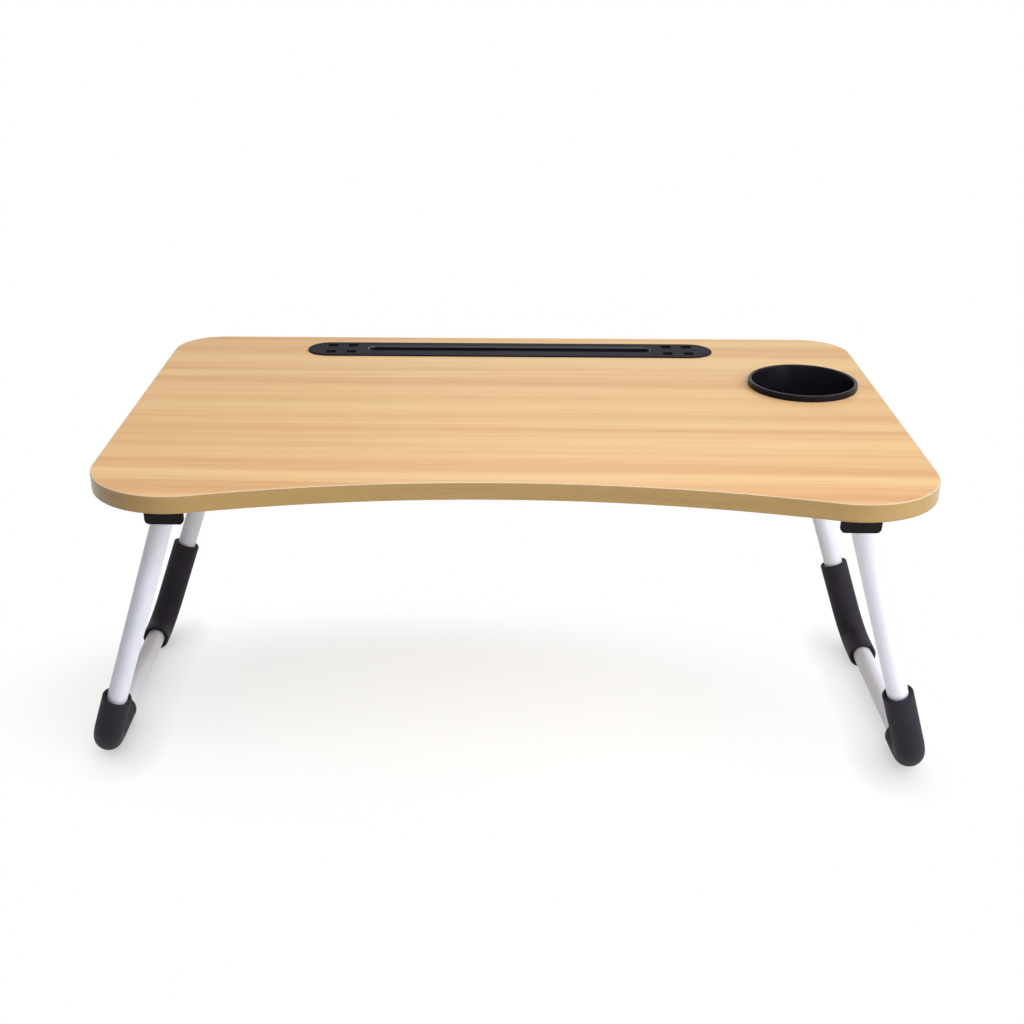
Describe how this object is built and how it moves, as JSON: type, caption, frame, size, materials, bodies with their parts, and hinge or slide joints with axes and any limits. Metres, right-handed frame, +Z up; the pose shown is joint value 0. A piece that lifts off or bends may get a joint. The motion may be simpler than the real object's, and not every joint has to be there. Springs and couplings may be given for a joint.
{
  "type": "folding laptop table",
  "caption": "Low folding laptop table: wood-grain board top with a bowed front edge, cup holder and tablet slot, on U-shaped tube legs that fold flat underneath.",
  "frame": {"origin": "on the floor, under the middle of the table's box with the legs open", "axes": "+X along the table towards the cup holder, +Y from the sitter to the back edge, +Z up"},
  "size_m": [0.673, 0.394, 0.269],
  "materials": {
    "fibreboard": "raw medium-density fibreboard",
    "beech_laminate": "satin light beech-grain laminate",
    "backing_laminate": "plain matt backing laminate",
    "edge_band_pvc": "satin edge band in a darker beech tone",
    "black_plastic": "moulded, fine matt",
    "black_rubber": "soft matt sleeve",
    "white_tube": "white powder coat on steel tube",
    "steel_pin": "drawn steel",
    "zinc_screw": "zinc-plated"
  },
  "bodies": {
    "tabletop": {"tabletop_core": "fibreboard", "top_laminate": "beech_laminate", "bottom_laminate": "backing_laminate", "edge_band": "edge_band_pvc", "cup_holder": "black_plastic", "tablet_slot_insert": "black_plastic", "bracket_screws": "zinc_screw", "hinge_bracket_front_left": "black_plastic", "hinge_pin_front_left": "steel_pin", "hinge_bracket_rear_left": "black_plastic", "hinge_pin_rear_left": "steel_pin", "hinge_bracket_front_right": "black_plastic", "hinge_pin_front_right": "steel_pin", "hinge_bracket_rear_right": "black_plastic", "hinge_pin_rear_right": "steel_pin"},
    "left_leg": {"leg_tube_left": "white_tube", "hinge_knuckle_front_left": "black_plastic", "hinge_knuckle_rear_left": "black_plastic", "foot_sleeve_front_left": "black_rubber", "foot_sleeve_rear_left": "black_rubber"},
    "right_leg": {"leg_tube_right": "white_tube", "hinge_knuckle_front_right": "black_plastic", "hinge_knuckle_rear_right": "black_plastic", "foot_sleeve_front_right": "black_rubber", "foot_sleeve_rear_right": "black_rubber"}
  },
  "joints": [
    {"name": "right_leg_fold", "type": "hinge", "parent": "tabletop", "child": "right_leg", "pos_m": [0.2475, 0, 0.233], "axis": [0, 1, 0], "range_deg": [0, 109.2]},
    {"name": "left_leg_fold", "type": "hinge", "parent": "tabletop", "child": "left_leg", "pos_m": [-0.2475, 0, 0.233], "axis": [0, -1, 0], "range_deg": [0, 109.2]}
  ]
}
